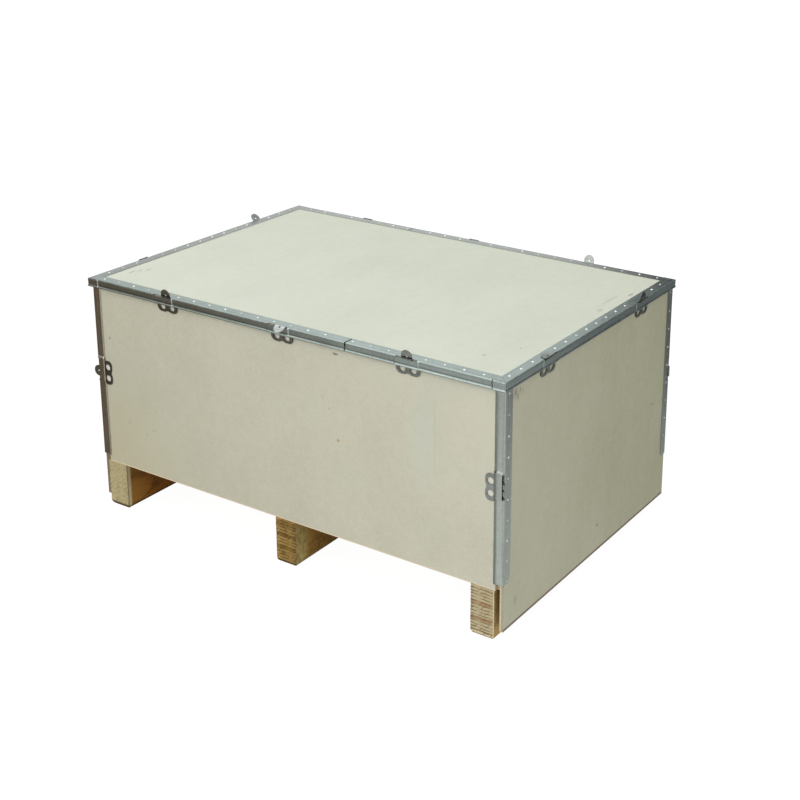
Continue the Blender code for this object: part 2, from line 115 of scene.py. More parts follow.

# Boards: plies, the strips' lower end, how far in from its edge each board is covered by a strip, that
# cover's soft border, the depth at which an end panel's outer plies, painted in half shade, give way to
# black painted shade under it, and half of the gap painted dark as shade where two strips meet
PLIES = 5
STRIP_FOOT = 0.1353
COVER = {"lid": 0.020, "long": 0.004, "end": 0.018}
COVER_BORDER = 0.001
OUTER_PLIES = (0.0048, 0.0040)
SEAM_HALVES = (0.004, 0.006)

# Painted shadows on the zinc: painted shade up to a level as axis, black level, clean level and depth,
# and lines of painted shade as axis, middle, half width and depth
UNDER_BEAD = (Z, 0.5812, 0.5824, 0.6)
TONGUE_ROOT = (Z, 0.6058, 0.6076, 1.0)
ABOVE_BEAD = (Z, 0.5890, 0.0024, 0.40)
CORNER_LIP = (X, 0.5755, 0.0042, 0.5)
PLATE_SLOT = (X, 0.5931, 0.0014, 0.85)
SEAM_LINE = (0.0026, 0.9)      # half width and depth

# Outputs of a Texture Coordinate node, and a normal's limits from edge-on to square-on
NORMAL, OBJECT = 1, 3
SQUARE_ON = (0.4, 0.6)


def colour(red, green, blue):
    return (red, green, blue, 1.0)


# Tints of wood and dirt, and of painted light and shade
DIRT = colour(0.20, 0.15, 0.09)
KNOT = colour(0.22, 0.12, 0.05)
RESIN = colour(0.50, 0.42, 0.22)
PAINTED_WARM_SHADE = colour(0.38, 0.34, 0.21)
SMUDGE = colour(0.24, 0.22, 0.18)
COOL = colour(0.43, 0.46, 0.42)
SAWN = colour(0.46, 0.33, 0.19)
CORE = colour(0.56, 0.49, 0.35)
GLUE = colour(0.24, 0.13, 0.05)
PAINTED_SHADE = colour(0.020, 0.016, 0.012)
GRIME = colour(0.10, 0.08, 0.05)
RUST = colour(0.13, 0.06, 0.03)
STAIN = colour(0.11, 0.10, 0.07)
TAN = colour(0.36, 0.33, 0.27)
PAINTED_HALF_SHADE = colour(0.32, 0.33, 0.30)
PAINTED_HOLE_LIGHT = colour(0.62, 0.60, 0.52)
WORN = colour(0.60, 0.47, 0.33)
SKIN = colour(0.27, 0.265, 0.20)

# Zinc that the corner strips share with their tongues
GREENISH = (0.345, 0.378, 0.344)


class Wire:
    """An output socket whose arithmetic adds Math nodes to its finish."""

    def __init__(self, finish, socket):
        self.finish = finish
        self.socket = socket

    def math(self, operation, *values):
        return self.finish.node('ShaderNodeMath', {'operation': operation}, dict(enumerate(values)))

    def __add__(self, other):
        return self.math('ADD', self, other)

    def __sub__(self, other):
        return self.math('SUBTRACT', self, other)

    def __rsub__(self, other):
        return self.math('SUBTRACT', other, self)

    def __mul__(self, other):
        return self.math('MULTIPLY', self, other)

    def __truediv__(self, other):
        return self.math('DIVIDE', self, other)

    def __pow__(self, other):
        return self.math('POWER', self, other)

    def __abs__(self):
        return self.math('ABSOLUTE', self)

    def fraction(self):
        return self.math('FRACT', self)

    __radd__ = __add__


class Finish:
    """A material under construction: one shader and the nodes that drive it."""

    def __init__(self, name, **constants):
        self.material = bpy.data.materials.new(name)
        self.material.use_nodes = True
        self.tree = self.material.node_tree
        self.shader = self.tree.nodes["Principled BSDF"]
        for socket, value in constants.items():
            self.shader.inputs[socket.replace("_", " ")].default_value = value

    @classmethod
    def of_tree(cls, tree):
        """The same node tools for a tree that isn't a material's, such as the world's."""
        tools = cls.__new__(cls)
        tools.tree = tree
        return tools

    def node(self, kind, settings=None, sockets=None, output=0):
        node = self.tree.nodes.new(kind)
        for key, value in (settings or {}).items():
            setattr(node, key, value)
        for key, value in (sockets or {}).items():
            self.feed(node.inputs[key], value)
        return Wire(self, node.outputs[output])

    def feed(self, socket, value):
        if isinstance(value, Wire):
            self.tree.links.new(value.socket, socket)
        else:
            socket.default_value = value

    def drive(self, **sockets):
        for name, value in sockets.items():
            self.feed(self.shader.inputs[name.replace("_", " ")], value)
        return self.material

    def split(self, output):
        """Three numbers of a Texture Coordinate output."""
        vector = self.node('ShaderNodeTexCoord', output=output)
        return [self.node('ShaderNodeSeparateXYZ', sockets={0: vector}, output=axis) for axis in range(3)]

    def join(self, x, y, z):
        return self.node('ShaderNodeCombineXYZ', sockets={0: x, 1: y, 2: z})

    def noise(self, vector, detail=3.0, roughness=0.55, distortion=0.0):
        sockets = {'Vector': vector, 'Scale': 1.0, 'Detail': detail, 'Roughness': roughness,
                   'Distortion': distortion}
        return self.node('ShaderNodeTexNoise', sockets=sockets)

    def rise(self, value, low, high):
        """0 below low, 1 above high, and a smooth rise between."""
        sockets = {'Value': value, 'From Min': low, 'From Max': high}
        return self.node('ShaderNodeMapRange', {'interpolation_type': 'SMOOTHSTEP'}, sockets)

    def blend(self, factor, first, second, mode='MIX'):
        settings = {'data_type': 'RGBA', 'blend_type': mode}
        return self.node('ShaderNodeMix', settings, {0: factor, 6: first, 7: second}, output=2)

    def bump(self, height, distance, strength):
        sockets = {'Height': height, 'Distance': distance, 'Strength': strength}
        return self.node('ShaderNodeBump', sockets=sockets)


def plywood(node, tones, grain, thickness, cover, streaks, tone_and_light_drift=(0.0, 0.0), marks=(), seed=0.0,
            edge_tones=(CORE, SAWN), mottling=1.0, rim=(0.0022, 0.55, SAWN), face_plies=0.0, spots=(),
            seams=()):
    """Face veneer with its grain along one axis, and the plies' layers on the board's edges.

    A mark is its place across and along, half width, half length, depth and tint, a rim is its reach,
    depth and tint, a spot is the place behind a plate's hole, where a pool of light is painted, and a seam
    is a gap between strips, painted dark as shade. The drift of tone is partly painted light and shade,
    and where a strip covers the board its face is painted over, with painted shade on upright boards.
    """
    finish = Finish(node + "_veneer", Metallic=0.0, Roughness=0.6, IOR=1.45)
    low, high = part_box(node)
    place = finish.split(OBJECT)
    facing = finish.split(NORMAL)
    width = 3 - grain - thickness
    across, along = place[width], place[grain]

    def grained(fine, coarse, shift):
        return finish.join(across * fine + seed + shift, along * coarse, place[thickness] * 3.0 + shift)

    fibre = finish.noise(grained(430.0, 9.0, 1.0), detail=5.0, roughness=0.65)
    figure = finish.noise(grained(26.0, 1.6, 5.0), detail=4.0, distortion=0.8)
    mottle = finish.noise(grained(50.0, 46.0, 3.0), detail=4.0, roughness=0.6)
    fleck = finish.noise(grained(170.0, 230.0, 4.0), detail=2.0, roughness=0.6)
    cloud = finish.noise(grained(5.0, 3.2, 9.0), detail=3.0)
    cool = finish.noise(grained(11.0, 6.0, 13.0), detail=4.0, roughness=0.65)
    pores = finish.rise(finish.noise(grained(900.0, 45.0, 2.0), detail=2.0), 0.62, 0.78)
    specks = finish.rise(finish.noise(grained(120.0, 95.0, 7.0), detail=1.0), 0.80, 0.86)

    pale, warm, grey = tones
    middle = [(first + last) / 2 for first, last in zip(low, high)]
    tone = 0.5 + (fibre - 0.5) * (0.50 * streaks) + (figure - 0.5) * (0.45 * streaks)
    tone = tone + (mottle - 0.5) * (0.36 * mottling) + (fleck - 0.5) * (0.55 * mottling)
    tone = tone + (cloud - 0.5) * (0.55 * mottling)
    # An even shift of tone across and along the face: partly the sheet's own tone, partly painted light and
    # shade
    tone = tone + (across - middle[width]) * tone_and_light_drift[0] + (along - middle[grain]) * tone_and_light_drift[1]
    face = finish.blend(finish.rise(tone, -0.1, 1.1), pale, warm)
    face = finish.blend(0.10 + finish.rise(cool, 0.40, 0.70) * 0.2, face, grey)
    face = finish.blend(pores * (0.10 * streaks) + specks * 0.35, face, DIRT)
    clean = face
    for mark_across, mark_along, size, length, depth, tint in marks:
        sideways = (across - mark_across) / size
        lengthways = (along - mark_along) / length
        spread = (sideways * sideways + lengthways * lengthways) ** 0.5 + (mottle - 0.5) * 0.8
        face = finish.blend((1.0 - finish.rise(spread, 0.15, 1.0)) * depth, face, tint)
    # Behind each of a plate's holes, a pale pool of painted light on the board
    for spot_across, spot_along in spots:
        offset = finish.join(across - spot_across, along - spot_along, 0.0)
        radius = finish.node('ShaderNodeVectorMath', {'operation': 'LENGTH'}, {0: offset}, 1)
        face = finish.blend((1.0 - finish.rise(radius, HOLE_RADIUS * 0.9, LOBE_RADIUS)) * 0.62, face, PAINTED_HOLE_LIGHT)
    inner = finish.rise(facing[thickness] * (-1.0 if middle[thickness] > 0 else 1.0), *SQUARE_ON)
    face = finish.blend(inner, face, clean)
    ragged = (fibre - 0.5) * 0.002
    inside = [(high[axis] - low[axis]) / 2 - abs(place[axis] - middle[axis]) + ragged
              for axis in (width, grain)]
    arris = inside[0].math('MINIMUM', *inside)
    reach, depth, tint = rim
    rimmed = arris if thickness == Z else inside[1]
    face = finish.blend((1.0 - finish.rise(rimmed, reach * 0.5, reach)) * depth, face, tint)

    layer = (place[thickness] - low[thickness]) * (PLIES / (high[thickness] - low[thickness]))
    glue = finish.rise(abs(layer.fraction() - 0.5), 0.36, 0.48)
    torn = finish.noise(finish.join(place[X] * 300.0, place[Y] * 300.0, place[Z] * 300.0), detail=3.0)
    edge = finish.blend(finish.rise(torn, 0.35, 0.7), *edge_tones)
    edge = finish.blend(glue * 0.45, edge, GLUE)
    edge = finish.blend(finish.rise(layer, PLIES - face_plies, PLIES - face_plies + 0.1), edge, SKIN)
    on_edge = 1.0 - finish.rise(abs(facing[thickness]), *SQUARE_ON)
    body = finish.blend(on_edge, face, edge)

    # Where a strip covers a board its face is painted over: with black painted shade on the upright boards,
    # and with a flat tan on the lid and the deck
    from_edge = arris if thickness == Z else inside[0]
    above_foot = finish.rise(place[Z], STRIP_FOOT, STRIP_FOOT + COVER_BORDER)
    covered = (1.0 - finish.rise(from_edge, cover - COVER_BORDER, cover)) * above_foot
    if thickness != Z:
        covered = covered * (1.0 - inner) * (1.0 - finish.rise(abs(facing[grain]), *SQUARE_ON))
    under = TAN if thickness == Z else PAINTED_SHADE
    # On an end panel the outer plies under the strip are painted in grey half shade, the deeper ones in
    # black shade
    if thickness == X:
        outer = max(abs(low.x), abs(high.x))
        limits = [outer - inward for inward in OUTER_PLIES]
        under = finish.blend(finish.rise(abs(place[X]), *limits), PAINTED_SHADE, PAINTED_HALF_SHADE)
    # Black painted shade in the gap where two strips meet
    for seam in seams:
        under = finish.blend(1.0 - finish.rise(abs(place[X] - seam), *SEAM_HALVES), under, PAINTED_SHADE)
    body = finish.blend(covered, body, under)

    height = fibre * 0.6 - pores * 0.6 + figure * 0.3
    return finish.drive(
        Base_Color=body,
        Roughness=0.52 + fibre * 0.12 + mottle * 0.08,
        Normal=finish.bump(height, 0.00012, 0.5))


def laminated(node, end_tones, side_tones, band, lines, saw_depth, rim, seed, foot, stripes=(),
              chips=(0.66, 0.76)):
    """Skid of laminated veneer: layers and saw marks on the ends, rough veneer on the sides.

    The sides are painted with two tones for the crate's shade, two for the lit band at the front and one
    between, and painted darker towards the top and away from the ends as shade; the foot is the height
    below which a painted contact shadow darkens the skid. A stripe is its height, half width, depth and
    tint.
    """
    finish = Finish(node + "_veneer", Metallic=0.0, Roughness=0.7, IOR=1.45, Specular_IOR_Level=0.05)
    low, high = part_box(node)
    place = finish.split(OBJECT)
    facing = finish.split(NORMAL)
    warp = finish.noise(finish.join(place[X] * 30.0 + seed, place[Y] * 4.0, place[Z] * 20.0), detail=3.0)
    ripple = (warp - 0.5) * 0.007
    layer = (place[Z] - low.z + ripple) * (SKID_LAYERS / (high.z - low.z))
    ply = layer.math('FLOOR')
    shade = finish.noise(finish.join(ply * 1.73 + seed, place[X] * 9.0, ply), detail=2.0, roughness=0.8)
    gap = finish.noise(finish.join(place[X] * 55.0 + seed, ply * 3.1, seed), detail=2.0)
    line = finish.rise(abs(layer.fraction() - 0.5) + (gap - 0.5) * 0.6, 0.30, 0.50)
    saw = finish.noise(finish.join((place[X] - place[Z]) * 330.0, (place[X] + place[Z]) * 30.0, seed),
                       detail=3.0)
    chip = finish.noise(finish.join(place[X] * 160.0, place[Z] * 130.0, seed), detail=3.0, roughness=0.7)
    pale, brown, dark = end_tones
    end = finish.blend(finish.rise(shade, 0.30, 0.70), pale, brown)
    for height, half, depth, tint in stripes:
        near = 1.0 - finish.rise(abs(place[Z] + ripple * 0.5 - height), half * 0.5, half)
        end = finish.blend(near * (0.3 + gap) * depth, end, tint)
    end = finish.blend(line * lines, end, dark)
    end = finish.blend(finish.rise(saw, 0.48, 0.66) * saw_depth, end, dark)
    end = finish.blend(finish.rise(chip, *chips) * 0.7, end, dark)
    reach, depth, tint = rim
    border = (high.x - place[X]) + (chip - 0.5) * reach
    end = finish.blend((1.0 - finish.rise(border, reach * 0.5, reach)) * depth, end, tint)

    fibre = finish.noise(finish.join(place[X] * 60.0, place[Y] * 14.0, place[Z] * 260.0 + seed), detail=5.0,
                         roughness=0.65)
    figure = finish.noise(finish.join(place[X] * 9.0, place[Y] * 11.0, place[Z] * 34.0 + seed), detail=4.0,
                          roughness=0.65, distortion=1.2)
    crush = finish.noise(finish.join(place[X] * 60.0, place[Y] * 130.0, place[Z] * 60.0 + seed), detail=3.0,
                         roughness=0.7)
    weave = fibre * 0.25 + figure * 0.50 + crush * 0.25
    shaded, half_shaded, lit_dark, lit_pale, between = side_tones
    back = finish.blend(finish.rise(weave, 0.41, 0.59), shaded, half_shaded)
    deep = colour(*(channel * 0.35 for channel in shaded[:3]))
    inward = high.y - abs(place[Y])
    back = finish.blend((1.0 - finish.rise(inward, 0.01, 0.09)) * figure * 0.9, back, between)
    # Painted shade, darker towards the top and further from the ends under the crate
    shadow = finish.rise(place[Z], 0.01, 0.13) * 0.5 + finish.rise(inward, 0.05, 0.15) * 0.5
    back = finish.blend(shadow, back, deep)
    front = finish.blend(finish.rise(fibre * 0.3 + crush * 0.7, 0.35, 0.65), lit_dark, lit_pale)
    front = finish.blend(finish.rise(inward, 0.0, band) * 0.35, front, lit_dark)
    # The lit band painted darker towards the top, as shade
    front = finish.blend(finish.rise(place[Z], 0.005, 0.12) * 0.35, front, shaded)
    ragged = inward + ripple * 0.8 + (crush - 0.5) * (band * 0.4)
    side = finish.blend(finish.rise(ragged, band * 0.75, band * 1.25), front, back)
    on_end = finish.rise(abs(facing[Y]), *SQUARE_ON)
    body = finish.blend(on_end, side, end)
    # A painted contact shadow darkens the skid along its foot
    above_foot = finish.rise(place[Z] + (chip - 0.5) * 0.003, foot * 0.5, foot)
    body = finish.blend((1.0 - above_foot) * 0.85, body, deep)
    grooves = (line * -0.6 + saw * 0.5) * on_end
    return finish.drive(
        Base_Color=body,
        Roughness=0.62 + saw * 0.2,
        Normal=finish.bump(fibre * 0.4 + grooves, 0.0006, 0.7))


def galvanised(name, base, along, roughness=0.25, dents=0.5, seed=0.0, painted_shade_level=None, flat=None, lines=(),
               shoulder=0.0):
    """Zinc-coated sheet, rolled along one axis: streaks, faint spangle and a wavy surface.

    Painted shade blackens it up to a level, lines are narrow painted shadows, flat is the axis across the
    sheet, which tells its cut edges, painted dark as shade, and shoulder is how much painted shade darkens
    it where it turns upward.
    """
    finish = Finish(name, Metallic=1.0, Roughness=roughness)
    place = finish.split(OBJECT)

    def rolled(fine, coarse, shift):
        spread = [place[axis] * (coarse if axis == along else fine) for axis in range(3)]
        return finish.join(spread[0] + seed + shift, spread[1], spread[2])

    streak = finish.noise(rolled(720.0, 8.0, 0.0), detail=3.0, roughness=0.6)
    band = finish.noise(rolled(260.0, 2.5, 3.0), detail=2.0)
    spangle = finish.noise(rolled(130.0, 130.0, 5.0), detail=2.0)
    stain = finish.noise(rolled(20.0, 12.0, 7.0), detail=4.0, roughness=0.7)
    tone = 0.5 + (streak - 0.5) * 0.45 + (band - 0.5) * 0.6 + (spangle - 0.5) * 0.2 + (stain - 0.5) * 0.4
    dark = colour(*(channel * 0.65 for channel in base))
    light = colour(*(min(channel * 1.30, 1.0) for channel in base))
    body = finish.blend(finish.rise(tone, 0.1, 0.9), dark, light)
    body = finish.blend(finish.rise(stain, 0.58, 0.78) * 0.35, body, colour(0.13, 0.12, 0.10))
    # Painted shade up to a level, such as under a bead or at a tongue's root
    if painted_shade_level:
        axis, black, clean, depth = painted_shade_level
        body = finish.blend((1.0 - finish.rise(place[axis], black, clean)) * depth, body, PAINTED_SHADE)
    # Narrow lines of painted shade
    for axis, middle, half, depth in lines:
        beside = finish.rise(abs(place[axis] - middle), half * 0.3, half)
        body = finish.blend((1.0 - beside) * depth, body, PAINTED_SHADE)
    # Cut edges painted dark, as the shade along them
    if flat is not None:
        cut = 1.0 - finish.rise(abs(finish.split(NORMAL)[flat]), 0.5, 0.7)
        body = finish.blend(cut * 0.85, body, PAINTED_SHADE)
    # Painted shade where the sheet turns upward
    if shoulder:
        body = finish.blend(finish.rise(finish.split(NORMAL)[Z], 0.15, 0.40) * shoulder, body, PAINTED_SHADE)
    wave = finish.noise(rolled(60.0, 16.0, 9.0), detail=1.0)
    dent = finish.noise(rolled(210.0, 150.0, 11.0), detail=1.0) * finish.rise(stain, 0.45, 0.65)
    return finish.drive(
        Base_Color=body,
        Roughness=roughness - 0.06 + streak * 0.10 + stain * 0.08,
        Normal=finish.bump(wave * 0.8 + dent * dents + streak * 0.03, 0.0010, 0.30))


def bright_rivet():
    """Tumbled aluminium of the rivet heads."""
    finish = Finish("rivet_aluminium", Metallic=0.55, Roughness=0.38)
    place = finish.split(OBJECT)
    mottle = finish.noise(finish.join(place[X] * 700.0, place[Y] * 700.0, place[Z] * 700.0), detail=2.0)
    each = finish.noise(finish.join(place[X] * 30.0, place[Y] * 30.0, place[Z] * 30.0), detail=1.0)
    body = finish.blend(finish.rise(each, 0.35, 0.62), colour(0.52, 0.55, 0.55), colour(0.94, 0.94, 0.93))
    return finish.drive(Base_Color=body, Roughness=0.32 + mottle * 0.12)


def paint_node(node, material):
    """Gives a node of the frame its finish."""
    mesh = frame["nodes"][node].data
    mesh.materials.clear()
    mesh.materials.append(material)


def finish_piece(name, bm, material, body):
    """New piece in its place, on its body."""
    mesh = bpy.data.meshes.new(name)
    bm.to_mesh(mesh)
    bm.free()
    mesh.materials.append(material)
    piece = bpy.data.objects.new(name, mesh)
    bpy.context.scene.collection.objects.link(piece)
    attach(piece, body)
    return piece


def rivet_profile(radius):
    """Half outline of a rivet's head, from its brim to its crown."""
    points = [(radius, -RIVET_SINK), (radius, RIVET_HEIGHT * RIVET_BRIM)]
    for ring in range(1, RIVET_RINGS + 1):
        angle = math.pi / 2 * ring / RIVET_RINGS
        rise = RIVET_BRIM + (1 - RIVET_BRIM) * math.sin(angle)
        points.append((radius * math.cos(angle), RIVET_HEIGHT * rise))
    return points


def add_rivet(bm, place, upward, radius):
    """Domed head on a strip's flange."""
    turn = Vector((0, 0, 1)).rotation_difference(upward).to_matrix().to_4x4()
    frame_of_rivet = Matrix.Translation(place) @ turn
    outline = [bm.verts.new((reach, 0, height)) for reach, height in rivet_profile(radius)]
    edges = [bm.edges.new(pair) for pair in zip(outline, outline[1:])]
    bmesh.ops.spin(bm, geom=outline + edges, cent=(0, 0, 0), axis=(0, 0, 1), dvec=(0, 0, 0),
                   angle=2 * math.pi, steps=RIVET_SIDES, use_merge=True)
    parts = set(outline)
    for face in bm.faces:
        if not face.tag:
            face.tag = True
            face.smooth = True
            parts.update(face.verts)
    bmesh.ops.transform(bm, matrix=frame_of_rivet, verts=[part for part in parts if part.is_valid])


def spaced(start, row, way=1):
    """Numbers from a start, by a row's first place, pitch and count."""
    first, pitch, count = row
    return [start + way * (first + pitch * step) for step in range(count)]


def rivet_row(name, places, upward, radius, body, material):
    """One row of heads as one piece."""
    bm = bmesh.new()
    for place in places:
        add_rivet(bm, place, upward, radius)
    bmesh.ops.remove_doubles(bm, verts=bm.verts[:], dist=WELD)
    bmesh.ops.recalc_face_normals(bm, faces=bm.faces[:])
    finish_piece(name, bm, material, body)


def clear_of_tongues(places):
    """Leaves out the places that a bent tongue would cover."""
    bends = [joint for joint in frame["joints"] if joint["type"] == "hinge"]

    def under(place, bend):
        offset = place - Vector(bend["pos_m"])
        sideways = abs(offset.dot(Vector(bend["axis"])))
        return sideways <= TONGUE_HALF_WIDTH and offset.length <= TONGUE_REACH

    return [place for place in places if not any(under(place, bend) for bend in bends)]


def make_rivets():
    """Rows along the lid's four edges and the four corner strips."""
    material = bright_rivet()
    low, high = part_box("lid_panel")
    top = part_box("lid_strip_left")[1].z
    up = Vector((0, 0, 1))
    long_row = [x for row in LONG_ROWS for x in spaced(low.x, row)]
    for side, row_y, sign in (("front", low.y + LID_RIVET_INSET, 1), ("back", high.y - LID_RIVET_INSET, -1)):
        places = [Vector((sign * x, row_y, top)) for x in long_row]
        rivet_row(f"lid_rivets_{side}", clear_of_tongues(places), up, LID_RIVET_RADIUS, "lid", material)
    for side, row_x, row in (("left", low.x + LID_RIVET_INSET, LEFT_ROW),
                             ("right", high.x - LID_RIVET_INSET, RIGHT_ROW)):
        places = [Vector((row_x, y, top)) for y in spaced(low.y, row)]
        rivet_row(f"lid_rivets_{side}", clear_of_tongues(places), up, LID_RIVET_RADIUS, "lid", material)
    for side_x, sideways in (("left", -1), ("right", 1)):
        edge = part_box(f"panel_{side_x}")[1].y
        for side_y, depth in (("front", -1), ("back", 1)):
            strip_low, strip_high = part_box(f"corner_strip_{side_y}_{side_x}")
            outer = max(abs(strip_low.x), abs(strip_high.x))
            places = [Vector((sideways * outer, depth * (edge - CORNER_RIVET_INSET), z))
                      for z in spaced(strip_high.z, CORNER_ROW, -1)]
            rivet_row(f"corner_rivets_{side_y}_{side_x}", places, Vector((sideways, 0, 0)),
                      CORNER_RIVET_RADIUS, "base", material)


def make_skid(node, material, chance):
    """Skid with ends sawn unevenly across its layers and rounded lower edges."""
    low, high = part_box(node)
    bottom = low.z + SKID_LIFT[node]
    step = (high.z - bottom) / SKID_LAYERS
    levels = [bottom + step * (layer + chance.uniform(-SKID_LAYER_PLAY, SKID_LAYER_PLAY))
              for layer in range(1, SKID_LAYERS)]
    levels = [bottom] + levels + [high.z]
    outline = []
    for end, order in ((low.y, 1), (high.y, -1)):
        for lower, upper in list(zip(levels, levels[1:]))[::order]:
            depth = chance.uniform(0.0, SKID_SAW_DEPTH) * order
            outline += [(end + depth, level) for level in (lower, upper)[::order]]
    bm = bmesh.new()
    left = low.x - SKID_WIDENING[node]
    base = bm.faces.new([bm.verts.new((left, y, z)) for y, z in outline])
    grown = bmesh.ops.extrude_face_region(bm, geom=[base])["geom"]
    moved = [part for part in grown if isinstance(part, bmesh.types.BMVert)]
    bmesh.ops.translate(bm, vec=(high.x - left, 0, 0), verts=moved)
    bmesh.ops.recalc_face_normals(bm, faces=bm.faces[:])
    for side, rounding in zip((left, high.x), SKID_ROUNDING[node]):
        lower_edge = [edge for edge in bm.edges
                      if abs(edge.verts[0].co.y - edge.verts[1].co.y) > (high.y - low.y) / 2
                      and all(abs(vert.co.z - bottom) < step / 4 and abs(vert.co.x - side) < step / 4
                              for vert in edge.verts)]
        bmesh.ops.bevel(bm, geom=lower_edge, offset=rounding, offset_type='OFFSET',
                        segments=ROUNDING_SEGMENTS, profile=0.5, affect='EDGES', material=-1)
    piece = finish_piece(node + "_sawn", bm, material, "base")
    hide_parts(node)


def front_holes():
    """Places on the front panel behind the holes of its tie plates, as across and along."""
    spots = []
    for node in frame["nodes"]:
        if node.startswith("tie_plate_front"):
            low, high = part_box(node)
            middle = (low.x + high.x) / 2
            spots += [(middle + side * HOLE_HALF_SPACING, low.z + HOLE_EDGE) for side in (-1, 1)]
        elif node.startswith("tie_plate_corner_front"):
            low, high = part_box(node)
            place = low.x + HOLE_EDGE if node.endswith("right") else high.x - HOLE_EDGE
            spots += [(place, (low.z + high.z) / 2 + side * HOLE_HALF_SPACING) for side in (-1, 1)]
    return spots


def strip_seams():
    """Where the two lengths of the front and of the back lid strip meet."""
    return [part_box("lid_strip_front_left")[1].x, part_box("lid_strip_back_left")[1].x]


def paint_boards():
    """Finishes of the lid, the sides and the floor."""
    lid_marks = ((0.478, -0.291, 0.006, 0.010, 0.5, SMUDGE), (0.523, -0.215, 0.003, 0.004, 0.8, KNOT),
                 (0.536, 0.174, 0.006, 0.060, 0.35, SMUDGE), (-0.546, -0.308, 0.004, 0.016, 0.70, SMUDGE),
                 (-0.538, -0.288, 0.004, 0.014, 0.60, SMUDGE), (-0.525, -0.272, 0.004, 0.014, 0.70, SMUDGE),
                 (0.550, 0.098, 0.008, 0.016, 0.40, SMUDGE), (0.559, 0.238, 0.005, 0.018, 0.55, STAIN))
    lid_tones = (colour(0.561, 0.579, 0.501), colour(0.438, 0.448, 0.375), colour(0.492, 0.527, 0.474))
    paint_node("lid_panel", plywood("lid_panel", lid_tones, Y, Z, COVER["lid"], streaks=0.35,
                                    tone_and_light_drift=(0.12, 0.42), marks=lid_marks, seams=strip_seams()))
    # The first front mark is a broad patch of painted warm shade over the panel's bottom left
    front_marks = ((-0.56, 0.15, 0.30, 0.28, 0.45, PAINTED_WARM_SHADE), (0.172, 0.360, 0.018, 0.011, 0.28, RESIN),
                   (0.161, 0.361, 0.006, 0.005, 0.70, KNOT), (0.157, 0.5668, 0.013, 0.0045, 0.80, STAIN),
                   (-0.546, 0.454, 0.004, 0.005, 0.9, STAIN), (-0.413, 0.238, 0.005, 0.005, 0.6, SMUDGE),
                   (-0.437, 0.223, 0.005, 0.004, 0.6, SMUDGE), (-0.495, 0.242, 0.006, 0.007, 0.4, SMUDGE),
                   (0.137, 0.432, 0.005, 0.005, 0.4, SMUDGE), (0.120, 0.457, 0.009, 0.008, 0.2, SMUDGE),
                   (0.388, 0.415, 0.046, 0.170, 0.26, COOL), (0.421, 0.430, 0.0014, 0.150, 0.30, SMUDGE))
    front_tones = (colour(0.495, 0.477, 0.380), colour(0.362, 0.339, 0.249), colour(0.417, 0.424, 0.358))
    # The smudge and the streaks at the right panel's top front corner are dirt together with painted shade
    # that the strips throw there
    right_marks = ((0.033, 0.090, 0.010, 0.004, 0.8, KNOT), (0.306, 0.302, 0.012, 0.004, 0.5, KNOT),
                   (-0.350, 0.561, 0.024, 0.022, 0.35, SMUDGE), (-0.366, 0.560, 0.004, 0.012, 0.7, STAIN),
                   (-0.354, 0.566, 0.004, 0.012, 0.7, STAIN), (-0.345, 0.554, 0.004, 0.011, 0.6, STAIN),
                   (-0.336, 0.566, 0.003, 0.010, 0.6, STAIN), (-0.326, 0.560, 0.004, 0.012, 0.4, STAIN),
                   (-0.341, 0.077, 0.012, 0.016, 0.35, SMUDGE))
    right_tones = (colour(0.509, 0.492, 0.359), colour(0.353, 0.338, 0.215), colour(0.428, 0.439, 0.338))
    # The long panels are painted lighter towards the top, as painted light against the shade under the lid's
    # edge, and lighter towards the right
    for side, marks, seed, spots in (("front", front_marks, 11.0, front_holes()), ("back", (), 23.0, ())):
        node = f"panel_{side}"
        paint_node(node, plywood(node, front_tones, Z, Y, COVER["long"], streaks=0.12, tone_and_light_drift=(-0.52, -0.50),
                                 marks=marks, seed=seed, mottling=1.3, rim=(0.0035, 0.75, WORN),
                                 spots=spots))
    # The end panels get darker towards the back and a dark rim along their top and bottom edges, and the
    # left panel's ply edges get darker tones than the right's
    for side, marks, seed, edges, skin in (("left", (), 37.0, (DIRT, GRIME), 0.0),
                                           ("right", right_marks, 41.0, (CORE, SAWN), 2.7)):
        node = f"panel_{side}"
        paint_node(node, plywood(node, right_tones, Z, X, COVER["end"], streaks=0.45, tone_and_light_drift=(0.85, 0.0),
                                 marks=marks, seed=seed, edge_tones=edges, mottling=1.2,
                                 rim=(0.0075, 0.90, RUST), face_plies=skin))
    deck_tones = (colour(0.50, 0.43, 0.30), colour(0.40, 0.32, 0.21), colour(0.42, 0.38, 0.30))
    paint_node("floor_deck", plywood("floor_deck", deck_tones, X, Z, COVER["long"], streaks=1.2, seed=53.0))


